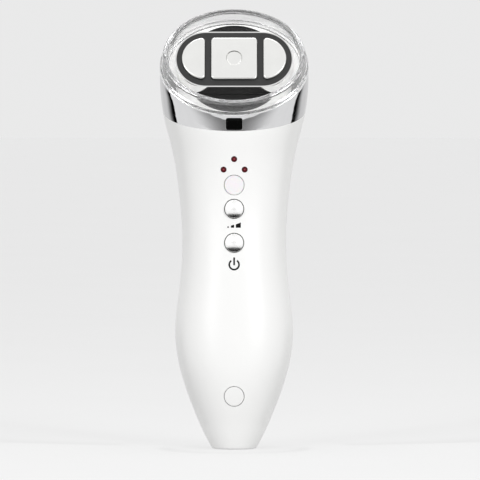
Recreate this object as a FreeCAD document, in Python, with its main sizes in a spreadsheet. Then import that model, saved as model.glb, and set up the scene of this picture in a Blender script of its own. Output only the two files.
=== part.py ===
import FreeCAD, Part
import os
import re

# Hand-held RF facial device, in millimetres.
# +Z runs up the handle, the face with the buttons looks along -Y, +X is to the right of that face.
# The origin is the middle of the flat tail, on which the device stands.

# Cross-sections of the outline, from the tail to the head: height, half width, half depth,
# place of the centre along Y, and lean towards the front in degrees.
SECTIONS = {
    "tail": (0, 8.6, 8.5, 0, 0),
    "taper": (11, 14.15, 12.2, 0.5, 0),
    "hip": (27, 20.15, 15.4, 1.2, 0),
    "belly": (45, 23.3, 16.5, 1.5, 0),
    "grip": (62, 21.95, 16.4, 1.5, 0),
    "waist": (80, 20.55, 16.3, 1.5, 0),
    "neck": (102, 21.85, 17.2, 1.3, 0),
    "collar": (116, 24.0, 19.4, 1.1, 5),
    "shoulder": (129, 27.2, 21.4, -0.25, 17),
    "brow": (139.5, 29.0, 21.8, -3.75, 34),
    "crest": (146, 29.4, 21.5, -8.0, 49),
    "top": (151, 29.25, 21.3, -12.4, 63),
}
SECTION_FIELDS = ("height", "width", "depth", "centre", "tilt")

SIZES = {
    # shells and ring
    "wall": 2.2,
    "ring_wall": 1.8,
    "tail_floor": 2.4,
    "deck": 3.4,
    "tail_round": 1.2,
    "rim_round": 0.6,
    "parting": 1.0,
    "seam_drop": 17,
    "seam_centre": -1.0,
    "seam_tilt": 21,
    "tongue_wall": 1.6,
    "tongue_rise": 2.0,
    "tongue_root": 3.0,
    "slip": 0.1,
    "reach": 80,
    # push buttons and their switches
    "button_radius": 3.75,
    "button_gap": 0.2,
    "button_proud": 1.5,
    "dome_radius": 6.5,
    "flange_radius": 5.0,
    "flange_thick": 0.8,
    "landing_depth": 3.2,
    "landing_radius": 6.2,
    "stem_radius": 1.5,
    "stem_length": 0.7,
    "plunger_radius": 1.7,
    "plunger_proud": 1.0,
    "plunger_root": 0.3,
    "switch_side": 6.0,
    "switch_thick": 3.4,
    "switch_bore": 1.3,
    "power_rise": 10.0,
    "button_pitch": 13.4,
    # lights and lens
    "lens_pitch": 9.4,
    "lens_radius": 3.95,
    "lens_depth": 1.3,
    "lens_light": 2.5,
    "light_radius": 1.1,
    "light_rise": 6.1,
    "light_pitch": 4.15,
    "led_side": 1.6,
    "led_thick": 0.8,
    # control board
    "board_width": 25,
    "board_thick": 1.6,
    "board_gap": 5.0,
    "board_rise": 4.95,
    "post_radius": 2.3,
    "post_edge": 3.0,
    "post_inset": 3.6,
    "small_screw": 0.9,
    "small_head": 1.7,
    "small_head_thick": 1.2,
    "small_screw_length": 4.5,
    "chip_side": 7.0,
    "chip_thick": 1.2,
    "inductor_thick": 3.0,
    "plug_thick": 4.0,
    "coil_gap": 10.0,
    "core_radius": 7.0,
    "core_flange": 1.6,
    "core_post": 2.6,
    "winding_radius": 6.3,
    "winding_length": 6.0,
    # cell
    "cell_radius": 9.1,
    "cell_length": 35,
    "cell_gap": 5.1,
    "tab_width": 6.0,
    "tab_length": 9.0,
    "tab_thick": 0.3,
    "rib_thick": 1.6,
    "rib_inset": 6.0,
    "rib_gap": 2.5,
    # closing screw under its cap
    "screw_height": 21.4,
    "plug_radius": 3.95,
    "plug_floor": 2.9,
    "boss_radius": 5.5,
    "rear_boss_radius": 3.5,
    "shank_radius": 1.2,
    "head_radius": 2.4,
    "head_thick": 1.9,
    "seat_depth": 3.8,
    "thread_depth": 7.0,
    # charge inlet
    "socket_span": 2.85,
    "socket_radius": 1.62,
    "socket_skin": 0.3,
    "socket_length": 7.3,
    "socket_base": 1.0,
    "socket_sink": 0.3,
    "socket_y": 3.3,
    "tongue_width": 6.6,
    "tongue_thick": 0.7,
    "tongue_length": 4.8,
    "charge_width": 9.6,
    "charge_thick": 1.2,
    "charge_low": 5.5,
    "charge_high": 17.0,
    "charge_post_inset": 4.5,
    # black window in the ring
    "window_width": 6.6,
    "window_tall": 4.8,
    "window_rise": 0.55,
    "window_depth": 1.1,
    "window_round": 0.9,
    # head, along the head's own axis from the top of the ring
    "plate_top": 0.5,
    "plate_round": 0.3,
    "guide_side": 6.3,
    "guide_front": 0.6,
    "spigot_inset_x": 5.75,
    "spigot_inset_y": 7.05,
    "moat_side": 2.9,
    "moat_front": 6.75,
    "block_top": 7.2,
    "trim_width": 0.5,
    "trim_thick": 6.5,
    "pocket_depth": 1.5,
    "electrode_proud": 1.3,
    "electrode_margin": 3.05,
    "electrode_split": 2.4,
    "electrode_corner": 1.4,
    "electrode_round": 0.6,
    "sensor_radius": 3.05,
    "sensor_thick": 0.8,
    "sensor_sink": 0.3,
    "sensor_round": 0.25,
    "stud_radius": 1.5,
    "stud_inset": 3.35,
    "stud_end": 7.4,
    "nut_radius": 2.9,
    "nut_thick": 1.3,
    "head_board_margin": 2.8,
    "head_board_depth": 13,
    "head_board_thick": 1.2,
    "head_screw_inset_x": 9.5,
    "head_screw_inset_y": 7.35,
    "head_screw_radius": 1.0,
    "head_screw_head": 2.0,
    "head_screw_thick": 1.6,
    "head_screw_bite": 1.5,
    # clear ring round the head
    "clear_flange": 2.4,
    "clear_step": 0.5,
    "clear_height": 10.0,
    "clear_lean_side": 1.15,
    "clear_lean_front": 0.4,
    "clear_thick": 2.05,
    "clear_foot": 0.9,
    "clear_foot_reach": 2.5,
    "clear_round": 0.8,
    "recess": 1.4,
    "recess_wall": 1.1,
}
for section, numbers in SECTIONS.items():
    for field, number in zip(SECTION_FIELDS, numbers):
        SIZES[f"{section}_{field}"] = number

X_AXIS = FreeCAD.Vector(1, 0, 0)
Z_AXIS = FreeCAD.Vector(0, 0, 1)
QUARTER_TURN = 90
HEXAGON = 6
EDGE_TOUCH = 0.01

doc = FreeCAD.newDocument("rf_facial_device")
sheet = doc.addObject("Spreadsheet::Sheet", "Sizes")
for row, (alias, number) in enumerate(SIZES.items(), start=1):
    sheet.set(f"A{row}", alias.replace("_", " "))
    sheet.set(f"B{row}", str(number))
    sheet.setAlias(f"B{row}", alias)
doc.recompute()


def formula(text):
    """Point every size named in a formula at the sheet."""
    def refer(found):
        word = found.group()
        return f"Sizes.{word}" if word in SIZES else word
    return re.sub(r"[a-z][a-z_]*", refer, str(text))


def add(kind, name, **formulas):
    """Add an object whose properties follow formulas of the sheet's sizes."""
    piece = doc.addObject(kind, name)
    for prop, text in formulas.items():
        piece.setExpression(prop, formula(text))
    return piece


def place(piece, x=0, y=0, z=0, tilt=0):
    """Place a piece by formulas, leaning forward about X by a tilt in degrees."""
    piece.Placement = FreeCAD.Placement(FreeCAD.Vector(), FreeCAD.Rotation(X_AXIS, QUARTER_TURN))
    moves = {"Base.x": x, "Base.y": y, "Base.z": z, "Rotation.Angle": tilt}
    for path, text in moves.items():
        piece.setExpression(f"Placement.{path}", formula(text))
    return piece


def box(name, width, depth, height, x=0, y=0, z=0):
    """A box, centred on x, that starts at y and z."""
    piece = add("Part::Box", name, Length=width, Width=depth, Height=height)
    return place(piece, f"({x}) - ({width}) / 2", y, z)


def pin(name, radius, back, length, x=0, z=0):
    """A round pin that points out of the front face, from its back end."""
    piece = add("Part::Cylinder", name, Radius=radius, Height=length)
    return place(piece, x, back, z, QUARTER_TURN)


def rod(name, radius, height, x=0, y=0, z=0):
    """A round rod along Z."""
    piece = add("Part::Cylinder", name, Radius=radius, Height=height)
    return place(piece, x, y, z)


def oval(name, width, depth, height, z=0):
    """An elliptical disc along Z, from its half width and half depth."""
    outline = add("Part::Ellipse", f"{name}_outline", MajorRadius=width, MinorRadius=depth)
    place(outline, z=z)
    disc = add("Part::Extrusion", name, LengthFwd=height)
    disc.Base = outline
    disc.DirMode = "Custom"
    disc.Dir = Z_AXIS
    disc.Solid = True
    return disc


def fuse(name, *pieces):
    """Join pieces into one solid."""
    joined = doc.addObject("Part::MultiFuse", name)
    joined.Shapes = list(pieces)
    joined.Refine = False
    return joined


def cut(name, base, *tools):
    """Take tools away from a base."""
    rest = doc.addObject("Part::Cut", name)
    rest.Base = base
    rest.Tool = tools[0] if len(tools) == 1 else fuse(f"{name}_tools", *tools)
    rest.Refine = False
    return rest


def common(name, first, second):
    """Keep what two pieces share."""
    shared = doc.addObject("Part::Common", name)
    shared.Base = first
    shared.Tool = second
    shared.Refine = False
    return shared


def group(name, *pieces):
    """Hold like pieces together as one sub-part."""
    held = doc.addObject("Part::Compound", name)
    held.Links = list(pieces)
    return held


def rounded(name, base, choices):
    """Round edges of a base: each choice is a test of an edge and the size that gives its radius."""
    doc.recompute()
    picked = []
    for number, edge in enumerate(base.Shape.Edges, start=1):
        for test, size in choices:
            if test(edge):
                picked.append((number, SIZES[size], SIZES[size]))
    fillet = doc.addObject("Part::Fillet", name)
    fillet.Base = base
    fillet.Edges = picked
    return fillet


def at_height(height):
    """Test for edges that lie flat at one height."""
    def test(edge):
        bounds = edge.BoundBox
        return abs(bounds.ZMax - height) < EDGE_TOUCH and abs(bounds.ZMin - height) < EDGE_TOUCH
    return test


def upright(edge):
    """True for straight edges along Z."""
    return edge.BoundBox.XLength < EDGE_TOUCH and edge.BoundBox.YLength < EDGE_TOUCH


def along_y(edge):
    """True for straight edges along Y."""
    return edge.BoundBox.XLength < EDGE_TOUCH and edge.BoundBox.ZLength < EDGE_TOUCH


def on_top_plane(edge):
    """True for the outer edge round the top of the head ring."""
    return abs(edge.CenterOfMass.z - SIZES["top_height"]) < EDGE_TOUCH and edge.BoundBox.ZMin > 0


def stadium(name, span, radius, height, y=0, z=0):
    """A slot-shaped block along Z, its round ends a span to each side of the middle."""
    left = rod(f"{name}_left", radius, height, f"-({span})", y, z)
    right = rod(f"{name}_right", radius, height, span, y, z)
    middle = box(f"{name}_middle", f"2 * ({span})", f"2 * ({radius})", height, 0, f"({y}) - ({radius})", z)
    block = fuse(name, left, middle, right)
    block.Refine = True
    return block


def taper(name, low_width, low_depth, low, high_width, high_depth, high):
    """Straight-sided loft between two ovals."""
    rings = []
    for end, width, depth, z in (("low", low_width, low_depth, low), ("high", high_width, high_depth, high)):
        ring = add("Part::Ellipse", f"{name}_{end}", MajorRadius=width, MinorRadius=depth)
        rings.append(place(ring, z=z))
    cone = doc.addObject("Part::Loft", name)
    cone.Sections = rings
    cone.Solid = True
    cone.Ruled = True
    return cone


def outline_loft(name, inset, floor="0", lid="0"):
    """Loft the device's outline drawn in by an inset, between a raised floor and a lowered lid."""
    rings = []
    for part in SECTIONS:
        rise = "0"
        if part == "tail":
            rise = floor
        if part == "top":
            rise = f"-({lid})"
        ring = add("Part::Ellipse", f"{name}_{part}",
                   MajorRadius=f"{part}_width - ({inset})",
                   MinorRadius=f"min({part}_width; {part}_depth) - ({inset})")
        place(ring,
              y=f"{part}_centre - sin({part}_tilt) * ({rise})",
              z=f"{part}_height + cos({part}_tilt) * ({rise})",
              tilt=f"{part}_tilt")
        rings.append(ring)
    loft = doc.addObject("Part::Loft", name)
    loft.Sections = rings
    loft.Solid = True
    return loft


def front_between(height, lower, upper):
    """Formula for the front face's Y at a height between two sections."""
    low = f"({lower}_centre - {lower}_depth)"
    high = f"({upper}_centre - {upper}_depth)"
    share = f"(({height}) - {lower}_height) / ({upper}_height - {lower}_height)"
    return f"({low} + ({high} - {low}) * {share})"


def on_head(piece, label):
    """Turn a finished head piece from the head's own axis into the device's frame."""
    place(piece, y="top_centre", z="top_height", tilt="top_tilt")
    return finish(piece, label)


finished = {}


def finish(piece, label):
    """Name a sub-part and keep it for the files."""
    piece.Label = label
    finished[label] = piece
    return piece


# Outline solids: the outside, the hollows, and the middle of the wall where inner posts end.
outer = rounded("outer", outline_loft("outline", "0"),
                [(at_height(0), "tail_round"), (on_top_plane, "rim_round")])
shell_hollow = outline_loft("shell_hollow", "wall", "tail_floor", "deck")
ring_hollow = outline_loft("ring_hollow", "ring_wall", "tail_floor", "deck")
mid_wall = outline_loft("mid_wall", "wall / 2", "tail_floor / 2", "deck / 2")
tongue_outside = outline_loft("tongue_outside", "ring_wall + slip", "tail_floor", "deck")
tongue_inside = outline_loft("tongue_inside", "ring_wall + slip + tongue_wall", "tail_floor", "deck")

SEAM_HEIGHT = "(top_height - seam_drop)"
above_seam = add("Part::Cylinder", "above_seam", Radius="reach", Height="reach")
place(above_seam, y="seam_centre", z=SEAM_HEIGHT, tilt="seam_tilt")
tongue_zone = add("Part::Cylinder", "tongue_zone", Radius="reach", Height="tongue_root + tongue_rise")
place(tongue_zone, y="seam_centre + sin(seam_tilt) * tongue_root",
      z=f"{SEAM_HEIGHT} - cos(seam_tilt) * tongue_root", tilt="seam_tilt")

tongue = common("tongue", cut("tongue_tube", tongue_outside, tongue_inside), tongue_zone)
handle_skin = cut("handle_skin", cut("handle_block", outer, above_seam), shell_hollow)
handle_hull = fuse("handle_hull", handle_skin, tongue)
front_half = box("front_half", "2 * reach", "reach", "3 * reach", 0, "parting - reach", "-reach")
rear_half = box("rear_half", "2 * reach", "reach", "3 * reach", 0, "parting", "-reach")

# Heights up the handle: closing screw, cell, control board, buttons, lens and lights.
CELL_LOW = "(screw_height + boss_radius + cell_gap)"
CELL_HIGH = f"({CELL_LOW} + cell_length)"
BOARD_LOW = f"({CELL_HIGH} + board_gap)"
POWER_HEIGHT = f"({BOARD_LOW} + power_rise)"
LEVEL_HEIGHT = f"({POWER_HEIGHT} + button_pitch)"
LENS_HEIGHT = f"({LEVEL_HEIGHT} + lens_pitch)"
LIGHT_LOW = f"({LENS_HEIGHT} + light_rise)"
LIGHT_HIGH = f"({LIGHT_LOW} + light_pitch)"
BOARD_HIGH = f"({LIGHT_HIGH} + board_rise)"
COIL_HEIGHT = f"({POWER_HEIGHT} + chip_side + coil_gap + core_radius)"
CHARGE_POST = "(charge_high - charge_post_inset)"

# Depths behind the front face: landing of the buttons, switches, control board.
FACE = "(waist_centre - waist_depth)"
LANDING = f"({FACE} + landing_depth)"
FLANGE_BACK = f"({LANDING} + button_gap + flange_thick)"
PLUNGER_FRONT = f"({FLANGE_BACK} + stem_length)"
SWITCH_FRONT = f"({PLUNGER_FRONT} + plunger_proud)"
BOARD_FRONT = f"({SWITCH_FRONT} + switch_thick)"
BOARD_BACK = f"({BOARD_FRONT} + board_thick)"
LENS_FLOOR = "(neck_centre - neck_depth + lens_depth)"
PLUG_FLOOR = "(hip_centre - hip_depth + plug_floor)"
SCREW_SEAT = f"({PLUG_FLOOR} + seat_depth)"
CHARGE_FRONT = "(socket_y + socket_radius)"
CHARGE_BACK = f"({CHARGE_FRONT} + charge_thick)"
CELL_Y = "belly_centre"

BUTTONS = {"level": LEVEL_HEIGHT, "power": POWER_HEIGHT}
LIGHTS = (("0", LIGHT_HIGH), ("-light_pitch", LIGHT_LOW), ("light_pitch", LIGHT_LOW))
POSTS = [(x, z) for x in ("post_edge - board_width / 2", "board_width / 2 - post_edge")
         for z in (f"{BOARD_LOW} + post_inset", f"{BOARD_HIGH} - post_inset")]
RIBS = (f"{CELL_LOW} + rib_inset", f"{CELL_HIGH} - rib_inset - rib_thick")


def cell_rib(name, number, low, depth, y):
    """A cross rib that cradles the cell, its ends inside the shell's wall."""
    slab = box(f"{name}_slab_{number}", "reach", depth, "rib_thick", 0, y, low)
    rib = common(f"{name}_clip_{number}", slab, mid_wall)
    seat = rod(f"{name}_seat_{number}", "cell_radius + slip", "cell_length", 0, CELL_Y, CELL_LOW)
    return cut(f"{name}_{number}", rib, seat)


# Front shell: wall, button landings, board posts, screw boss and ribs, then its holes.
front_boss = pin("front_boss_pin", "boss_radius", "parting", "reach", 0, "screw_height")
front_adds = [common("front_boss", front_boss, mid_wall)]
front_cuts = [
    pin("plug_recess", "plug_radius + slip", PLUG_FLOOR, "reach", 0, "screw_height"),
    pin("screw_head_recess", "head_radius + slip", SCREW_SEAT, "reach", 0, "screw_height"),
    pin("screw_way", "shank_radius + 2 * slip", "parting + slip", "reach", 0, "screw_height"),
    pin("lens_recess", "lens_radius + slip", LENS_FLOOR, "reach", 0, LENS_HEIGHT),
    pin("lens_way", "lens_light", BOARD_FRONT, "reach", 0, LENS_HEIGHT),
]
for key, height in BUTTONS.items():
    landing = pin(f"{key}_landing_pin", "landing_radius", LANDING, "reach", 0, height)
    front_adds.append(common(f"{key}_landing", landing, mid_wall))
    front_cuts.append(pin(f"{key}_hole", "button_radius + button_gap", LANDING, "reach", 0, height))
for number, (x, z) in enumerate(POSTS):
    post = pin(f"post_pin_{number}", "post_radius", BOARD_FRONT, "reach", x, z)
    front_adds.append(common(f"post_{number}", post, mid_wall))
    front_cuts.append(pin(f"post_bore_{number}", "small_screw + slip / 2", BOARD_FRONT,
                          "small_screw_length - board_thick + slip", x, z))
for number, (x, z) in enumerate(LIGHTS):
    front_cuts.append(pin(f"light_hole_{number}", "light_radius + slip", BOARD_FRONT, "reach", x, z))
for number, low in enumerate(RIBS):
    front_adds.append(cell_rib("front_rib", number, low, "reach", f"{CELL_Y} - rib_gap - reach"))
front_blank = fuse("front_blank", common("front_wall", handle_hull, front_half), *front_adds)
finish(cut("front_shell", front_blank, *front_cuts), "front_shell")

# Rear shell: wall, screw boss, charge board post and ribs, then the inlet and thread holes.
rear_boss = pin("rear_boss_pin", "rear_boss_radius", "reach", "reach - parting", 0, "screw_height")
charge_mount = pin("charge_mount_pin", "post_radius", "reach", f"reach - {CHARGE_BACK}", 0, CHARGE_POST)
rear_adds = [common("rear_boss", rear_boss, mid_wall), common("charge_mount", charge_mount, mid_wall)]
for number, low in enumerate(RIBS):
    rear_adds.append(cell_rib("rear_rib", number, low, "reach", f"{CELL_Y} + rib_gap"))
rear_cuts = [
    stadium("inlet", "socket_span", "socket_radius + slip", "tail_floor + slip", "socket_y", "-slip"),
    pin("thread_bore", "shank_radius + slip / 2", "parting + thread_depth + slip",
        "thread_depth + slip", 0, "screw_height"),
    pin("charge_bore", "small_screw + slip / 2", f"{CHARGE_FRONT} + small_screw_length + slip",
        "small_screw_length + slip", 0, CHARGE_POST),
]
rear_blank = fuse("rear_blank", common("rear_wall", handle_hull, rear_half), *rear_adds)
finish(cut("rear_shell", rear_blank, *rear_cuts), "rear_shell")

# Flush discs and light rods follow the outer face.
plug_pin = pin("plug_pin", "plug_radius", PLUG_FLOOR, "reach", 0, "screw_height")
finish(common("screw_cap", plug_pin, outer), "screw_cap")
lens_pin = pin("lens_pin", "lens_radius", LENS_FLOOR, "reach", 0, LENS_HEIGHT)
finish(common("status_lens", lens_pin, outer), "status_lens")
light_rods = []
leds = [box("status_led", "led_side", "led_thick", "led_side", 0, f"{BOARD_FRONT} - led_thick",
            f"{LENS_HEIGHT} - led_side / 2")]
for number, (x, z) in enumerate(LIGHTS):
    light_pin = pin(f"light_pin_{number}", "light_radius", f"{BOARD_FRONT} - led_thick", "reach", x, z)
    light_rods.append(common(f"light_rod_{number}", light_pin, outer))
    leds.append(box(f"led_{number}", "led_side", "led_thick", "led_side", x, f"{BOARD_FRONT} - led_thick",
                    f"{z} - led_side / 2"))
finish(group("level_lights", *light_rods), "level_lights")
finish(group("indicator_leds", *leds), "indicator_leds")

# Buttons with their switches and plungers.
for key, height in BUTTONS.items():
    face = front_between(height, "waist", "neck")
    crown = f"({face} - button_proud)"
    barrel = pin(f"{key}_barrel", "button_radius", f"{FLANGE_BACK} - flange_thick", "reach", 0, height)
    dome = add("Part::Sphere", f"{key}_dome", Radius="dome_radius")
    place(dome, 0, f"{crown} + dome_radius", height)
    crowned = common(f"{key}_crowned", barrel, dome)
    flange = pin(f"{key}_flange", "flange_radius", FLANGE_BACK, "flange_thick", 0, height)
    stem = pin(f"{key}_stem", "stem_radius", PLUNGER_FRONT, "stem_length", 0, height)
    finish(fuse(f"{key}_button", crowned, flange, stem), f"{key}_button")
    plunger = pin(f"{key}_plunger", "plunger_radius", f"{SWITCH_FRONT} + plunger_root",
                  "plunger_proud + plunger_root", 0, height)
    finish(plunger, f"{key}_plunger")
    body = box(f"{key}_switch_body", "switch_side", "switch_thick", "switch_side", 0, SWITCH_FRONT,
               f"{height} - switch_side / 2")
    bore = pin(f"{key}_switch_bore", "plunger_radius + button_gap", f"{SWITCH_FRONT} + switch_bore",
               "switch_bore + slip", 0, height)
    finish(cut(f"{key}_switch", body, bore), f"{key}_switch")

# Control board with its parts, on the front shell's posts.
board = box("board_blank", "board_width", "board_thick", f"{BOARD_HIGH} - {BOARD_LOW}", 0, BOARD_FRONT,
            BOARD_LOW)
board_holes = []
board_screws = []
for number, (x, z) in enumerate(POSTS):
    board_holes.append(pin(f"board_hole_{number}", "small_screw + slip", f"{BOARD_BACK} + slip",
                           "board_thick + 2 * slip", x, z))
    shank = pin(f"board_shank_{number}", "small_screw", BOARD_BACK, "small_screw_length", x, z)
    head = pin(f"board_head_{number}", "small_head", f"{BOARD_BACK} + small_head_thick",
               "small_head_thick", x, z)
    board_screws.append(fuse(f"board_screw_{number}", shank, head))
finish(cut("control_board", board, *board_holes), "control_board")

charge_head = pin("charge_head", "small_head", CHARGE_FRONT, "small_head_thick", 0, CHARGE_POST)
charge_shank = pin("charge_shank", "small_screw", f"{CHARGE_FRONT} + small_screw_length",
                   "small_screw_length", 0, CHARGE_POST)
board_screws.append(fuse("charge_screw", charge_head, charge_shank))
finish(group("board_screws", *board_screws), "board_screws")

controller = box("controller", "chip_side", "chip_thick", "chip_side", "-board_width / 4", BOARD_BACK,
                 POWER_HEIGHT)
inductor = box("inductor", "chip_side", "inductor_thick", "chip_side", "board_width / 4", BOARD_BACK,
               POWER_HEIGHT)
cell_plug = box("cell_plug", "chip_side", "plug_thick", "chip_side / 2", 0, BOARD_BACK, f"{BOARD_LOW} + slip")
finish(group("control_chips", controller, inductor, cell_plug), "control_chips")

CORE_END = f"({BOARD_BACK} + 2 * core_flange + winding_length)"
core_near = pin("core_near", "core_radius", f"{BOARD_BACK} + core_flange", "core_flange", 0, COIL_HEIGHT)
core_far = pin("core_far", "core_radius", CORE_END, "core_flange", 0, COIL_HEIGHT)
core_post = pin("core_post_pin", "core_post", CORE_END, f"{CORE_END} - {BOARD_BACK}", 0, COIL_HEIGHT)
finish(fuse("transformer_core", core_near, core_post, core_far), "transformer_core")
WINDING_END = f"({CORE_END} - core_flange)"
coil = pin("coil", "winding_radius", WINDING_END, "winding_length", 0, COIL_HEIGHT)
coil_bore = pin("coil_bore", "core_post + slip / 2", WINDING_END, "winding_length", 0, COIL_HEIGHT)
finish(cut("transformer_winding", coil, coil_bore), "transformer_winding")

# Cell with its end tabs.
finish(rod("battery", "cell_radius", "cell_length", 0, CELL_Y, CELL_LOW), "battery")
low_tab = box("low_tab", "tab_width", "tab_length", "tab_thick", 0, f"{CELL_Y} - tab_length / 2",
              f"{CELL_LOW} - tab_thick")
high_tab = box("high_tab", "tab_width", "tab_length", "tab_thick", 0, f"{CELL_Y} - tab_length / 2",
               CELL_HIGH)
finish(group("battery_tabs", low_tab, high_tab), "battery_tabs")

# Charge inlet: metal shell, contact tongue and board.
socket_body = stadium("socket_body", "socket_span", "socket_radius", "socket_length", "socket_y",
                      "socket_sink")
socket_mouth = stadium("socket_mouth", "socket_span", "socket_radius - socket_skin",
                       "socket_length - socket_base", "socket_y", "socket_sink - slip")
finish(cut("charge_socket", socket_body, socket_mouth), "charge_socket")
finish(box("charge_tongue", "tongue_width", "tongue_thick", "tongue_length", 0, "socket_y - tongue_thick / 2",
           "socket_sink + socket_length - socket_base - slip - tongue_length"), "charge_tongue")
charge_blank = box("charge_blank", "charge_width", "charge_thick", "charge_high - charge_low", 0,
                   CHARGE_FRONT, "charge_low")
charge_hole = pin("charge_hole", "small_screw + slip", f"{CHARGE_BACK} + slip", "charge_thick + 2 * slip", 0,
                  CHARGE_POST)
finish(cut("charge_board", charge_blank, charge_hole), "charge_board")

# Closing screw.
screw_head = pin("screw_head", "head_radius", SCREW_SEAT, "head_thick", 0, "screw_height")
screw_shank = pin("screw_shank", "shank_radius", "parting + thread_depth",
                  f"parting + thread_depth - {SCREW_SEAT}", 0, "screw_height")
finish(fuse("shell_screw", screw_head, screw_shank), "shell_screw")

# Head sizes from the top of the ring inwards: clear ring, its bore and foot, screws, spigot, block.
RIM_WIDTH = "(top_width - clear_lean_side)"
RIM_DEPTH = "(top_depth - clear_lean_front)"
BORE_WIDTH = f"({RIM_WIDTH} - clear_thick)"
BORE_DEPTH = f"({RIM_DEPTH} - clear_thick)"
FOOT_WIDTH = f"({BORE_WIDTH} - clear_foot_reach)"
FOOT_DEPTH = f"({BORE_DEPTH} - clear_foot_reach)"
SCREW_X = f"({FOOT_WIDTH} - head_screw_inset_x)"
SCREW_Y = f"({FOOT_DEPTH} - head_screw_inset_y)"
SPIGOT_WIDTH = f"({FOOT_WIDTH} - spigot_inset_x)"
SPIGOT_DEPTH = f"({FOOT_DEPTH} - spigot_inset_y)"
BLOCK_RADIUS = f"({BORE_DEPTH} - moat_front)"
BLOCK_SPAN = f"({BORE_WIDTH} - moat_side - {BLOCK_RADIUS})"
ELECTRODE_SIDE = f"(2 * ({BLOCK_RADIUS} - electrode_margin))"
ELECTRODE_GAP = f"({ELECTRODE_SIDE} / 2 + electrode_split)"
STUD_PITCH = f"({ELECTRODE_GAP} + stud_inset)"

# Head ring: slanted wedge with a recessed deck, its window pocket, and the holes for the head.
HEAD_SCREWS = [(x, y) for x in (f"-{SCREW_X}", SCREW_X) for y in (f"-{SCREW_Y}", SCREW_Y)]


RING_FRONT = "(top_centre - top_depth * cos(top_tilt))"
SEAM_FRONT = f"({SEAM_HEIGHT} + ({RING_FRONT} - seam_centre) * tan(seam_tilt))"


def window_block(name, grow):
    """Rounded block through the front of the ring, a little above the seam."""
    block = box(f"{name}_box", f"window_width + 2 * ({grow})", "reach", f"window_tall + 2 * ({grow})", 0,
                f"{RING_FRONT} + window_depth - reach", f"{SEAM_FRONT} + window_rise - ({grow})")
    return rounded(f"{name}_rounded", block, [(along_y, "window_round")])


ring_block = cut("ring_block", common("ring_wedge", outer, above_seam), ring_hollow)
deck_tools = [
    oval("deck_opening", f"{SPIGOT_WIDTH} + slip", f"{SPIGOT_DEPTH} + slip", "2 * deck", "-1.5 * deck"),
    oval("deck_recess", f"{BORE_WIDTH} + recess_wall + slip", f"{BORE_DEPTH} + recess_wall + slip", "deck",
         "-recess"),
]
for number, (x, y) in enumerate(HEAD_SCREWS):
    deck_tools.append(rod(f"deck_hole_{number}", "head_screw_radius + 2 * slip", "2 * deck", x, y,
                          "-1.5 * deck"))
deck_cut = place(fuse("deck_cut", *deck_tools), y="top_centre", z="top_height", tilt="top_tilt")
finish(cut("head_ring", ring_block, deck_cut, window_block("window_pocket", "slip / 2")), "head_ring")
finish(common("ring_window", window_block("window", "0"), outer), "ring_window")

# Head pieces, drawn along the head's own axis from the top of the ring.
STUDS = (f"-{STUD_PITCH}", "0", STUD_PITCH)
POCKET_FLOOR = "(block_top - pocket_depth)"
ELECTRODE_TOP = "(block_top + electrode_proud)"
SENSOR_FLOOR = f"({ELECTRODE_TOP} - sensor_sink - sensor_thick)"


def stud_bores(name):
    """Clearance holes for the three studs."""
    return [rod(f"{name}_{number}", "stud_radius + slip", "block_top + 2 * deck", x, 0, "-2 * deck")
            for number, x in enumerate(STUDS)]


FOOT_TOP = "(clear_foot - recess)"
PLATE_WIDTH = f"({BORE_WIDTH} - guide_side)"
PLATE_DEPTH = f"({BORE_DEPTH} - guide_front)"
plate_oval = oval("plate_oval", PLATE_WIDTH, PLATE_DEPTH, f"plate_top - {FOOT_TOP}", FOOT_TOP)
plate_disc = rounded("plate_disc", plate_oval, [(at_height(SIZES["plate_top"]), "plate_round")])
plate_hub = oval("plate_hub", f"{FOOT_WIDTH} - 2 * slip", f"{FOOT_DEPTH} - 2 * slip", "clear_foot",
                 "-recess")
plate_spigot = oval("plate_spigot", SPIGOT_WIDTH, SPIGOT_DEPTH, "deck - recess", "-deck")
plate_solid = fuse("plate_solid", plate_disc, plate_hub, plate_spigot)
plate_bores = stud_bores("plate_stud")
for number, (x, y) in enumerate(HEAD_SCREWS):
    plate_bores.append(rod(f"plate_bore_{number}", "head_screw_radius + slip / 2", "head_screw_bite + slip",
                           x, y, "-recess"))
on_head(cut("head_plate", plate_solid, *plate_bores), "head_plate")

# Pale light guide: oval ring on the foot of the clear ring, wide at both ends of the block.
guide_outside = oval("guide_outside", f"{BORE_WIDTH} - 2 * slip", f"{BORE_DEPTH} - 2 * slip",
                     f"plate_top - plate_round - {FOOT_TOP}", FOOT_TOP)
guide_inside = oval("guide_inside", f"{PLATE_WIDTH} + slip", f"{PLATE_DEPTH} + slip", "3 * clear_foot",
                    f"{FOOT_TOP} - clear_foot")
on_head(cut("light_guide", guide_outside, guide_inside), "light_guide")


def side_electrode(name, sign, grow, low, high):
    """Half-round contact with softened corners, its flat side towards the middle."""
    middle = f"{sign} * {ELECTRODE_GAP}"
    disc = rod(f"{name}_disc", f"{ELECTRODE_SIDE} / 2 + {grow}", f"{high} - {low}", middle, 0, low)
    outside = box(f"{name}_outside", ELECTRODE_SIDE, f"2 * {ELECTRODE_SIDE}", f"{high} - {low}",
                  f"{sign} * ({ELECTRODE_GAP} + {ELECTRODE_SIDE} / 2 - {grow})", f"-{ELECTRODE_SIDE}", low)
    half = common(f"{name}_half", disc, outside)
    return rounded(f"{name}_corners", half, [(upright, "electrode_corner")])


def centre_contact(name, grow, low, high):
    """Square contact with softened corners."""
    side = f"({ELECTRODE_SIDE} + 2 * {grow})"
    block = box(f"{name}_box", side, side, f"{high} - {low}", 0, f"-{side} / 2", low)
    return rounded(f"{name}_corners", block, [(upright, "electrode_corner")])


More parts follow.
